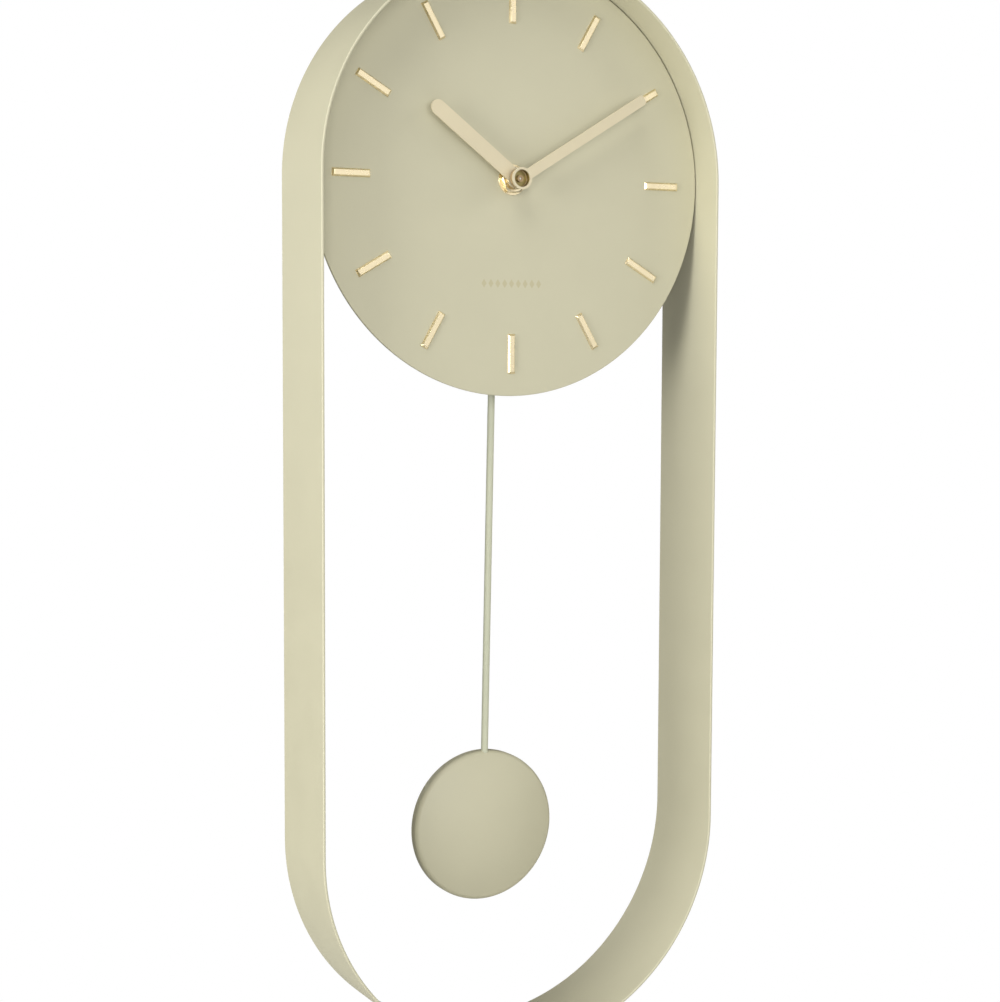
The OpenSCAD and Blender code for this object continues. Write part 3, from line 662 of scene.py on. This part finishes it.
def bob():
    """The domed shell: a drum wall, a rounded edge and a shallow dome, all in one turned profile."""
    back = depth_range("bob_back")[0]
    front = depth_range("bob_front")[1]
    r = half_width("bob_front")
    wall, sheet, edge = 5.0 * MM, 0.8 * MM, 2.8 * MM
    crown = back - front
    rise = crown - wall
    # the dome is part of a ball whose centre lies behind the bob, at the height ball_h over its back
    ball = (r * r + rise * rise) / (2 * rise)
    ball_h = crown - ball
    # the edge's rounding touches the drum wall and the ball
    edge_h = ball_h + math.sqrt((ball - edge) ** 2 - (r - edge) ** 2)
    lean = math.atan2(r - edge, edge_h - ball_h)
    edge_steps, dome_steps = 10, 40
    outside = [(r, 0.0), (r, edge_h * 0.5), (r, edge_h)]
    for k in range(1, edge_steps + 1):
        turn = (math.pi / 2 - lean) * k / edge_steps
        outside.append((r - edge + edge * math.cos(turn), edge_h + edge * math.sin(turn)))
    for k in range(1, dome_steps + 1):
        turn = lean * (1 - k / dome_steps)
        outside.append((ball * math.sin(turn), ball_h + ball * math.cos(turn)))
    inner_r = r - sheet
    inside = [(0.0, crown - sheet), (r * 0.5, crown - sheet - rise * 0.25), (inner_r - edge, wall - sheet),
              (inner_r, wall - 2 * sheet), (inner_r, 0.0)]
    profile = [(x, back - h) for x, h in outside + inside]
    obj = lathe("bob_dome", profile, at=BOB, segments=160)
    dress(finish_surface(obj), "sage_powder_coat", "pendulum", "bob_front")


# ---- stage, light and camera ----

ROOM_FILL = 0.05

# name, place, size and power in watts
SOFTBOXES = (("key box", (-0.55, -2.0, 0.0), (1.4, 1.4), 27.0),
             ("left box", (-1.6, -0.35, -0.15), (0.9, 0.9), 26.5),
             ("high left box", (-1.0, -0.9, 1.9), (1.4, 1.4), 29.0),
             ("front box", (1.1, -2.07, 0.2), (1.2, 1.2), 5.0),
             ("right box", (2.2, -0.8, 0.8), (1.2, 1.2), 20.0),
             ("rear box", (0.0, 3.0, 0.0), (0.9, 0.9), 12.0))
SOFTBOX_AIM = (0.0, -0.02, -0.2)

CAMERA_FROM_DIAL = Vector((-0.41478, -0.84092, -0.07554))
CAMERA_YAW = math.radians(26.784)
CAMERA_PITCH = math.radians(-4.46)
CAMERA_ROLL = math.radians(0.23)
CAMERA_LENS = 71.25


def camera():
    data = bpy.data.cameras.new("camera")
    data.sensor_width = 36.0
    data.lens = CAMERA_LENS
    data.clip_start = 0.05
    obj = bpy.data.objects.new("camera", data)
    ahead = Vector((math.sin(CAMERA_YAW), math.cos(CAMERA_YAW), 0.0))
    look = ahead * math.cos(CAMERA_PITCH) + Vector((0.0, 0.0, math.sin(CAMERA_PITCH)))
    level = Vector((math.cos(CAMERA_YAW), -math.sin(CAMERA_YAW), 0.0))
    rise = level.cross(look)
    c, s = math.cos(CAMERA_ROLL), math.sin(CAMERA_ROLL)
    right, up = c * level + s * rise, c * rise - s * level
    spot = Vector((CENTRE.x, 0.0, CENTRE.z)) + CAMERA_FROM_DIAL
    obj.matrix_world = Matrix.Translation(spot) @ Matrix((right, up, -look)).transposed().to_4x4()
    bpy.context.scene.collection.objects.link(obj)
    bpy.context.scene.camera = obj


def softbox(name, spot, size, power):
    data = bpy.data.lights.new(name, "AREA")
    data.shape = "RECTANGLE"
    data.size, data.size_y = size
    data.energy = power
    obj = bpy.data.objects.new(name, data)
    direction = Vector(SOFTBOX_AIM) - Vector(spot)
    obj.location = spot
    obj.rotation_euler = direction.to_track_quat("-Z", "Y").to_euler()
    bpy.context.scene.collection.objects.link(obj)


def backdrop():
    """A white sweep as the camera sees it, and a dim even fill as the object sees it."""
    world = bpy.data.worlds.new("studio")
    bpy.context.scene.world = world
    world.use_nodes = True
    tree = world.node_tree
    rays = tree.nodes.new("ShaderNodeLightPath")
    level = tree.nodes.new("ShaderNodeMapRange")
    level.inputs["To Min"].default_value = ROOM_FILL
    level.inputs["To Max"].default_value = 1.0
    tree.links.new(rays.outputs["Is Camera Ray"], level.inputs["Value"])
    tree.links.new(level.outputs["Result"], tree.nodes["Background"].inputs["Strength"])
    tree.nodes["Background"].inputs["Color"].default_value = (1.0, 1.0, 1.0, 1.0)


def floor():
    mat, tree, shader = new_material("pale floor")
    shader.inputs["Roughness"].default_value = 0.9
    pale = tint(tree, noise(tree, 3.0), (0.80, 0.80, 0.79), (0.83, 0.83, 0.82))
    tree.links.new(pale, shader.inputs["Base Color"])
    reach, drop = 2.2, 1.0
    z = CAD_BOX[0][2] - drop
    corners = [(-reach, -reach, z), (reach, -reach, z), (reach, reach, z), (-reach, reach, z)]
    obj = add_mesh("floor", corners, [(0, 1, 2, 3)])
    obj.data.materials.append(mat)


def studio():
    bpy.context.scene.view_settings.view_transform = "Standard"
    backdrop()
    floor()
    for box in SOFTBOXES:
        softbox(*box)


dress_cad_nodes()
band()
dial()
ornament()
washer()
bushing()
hex_nut()
collet()
minute_cup()
hands()
bob()
camera()
studio()
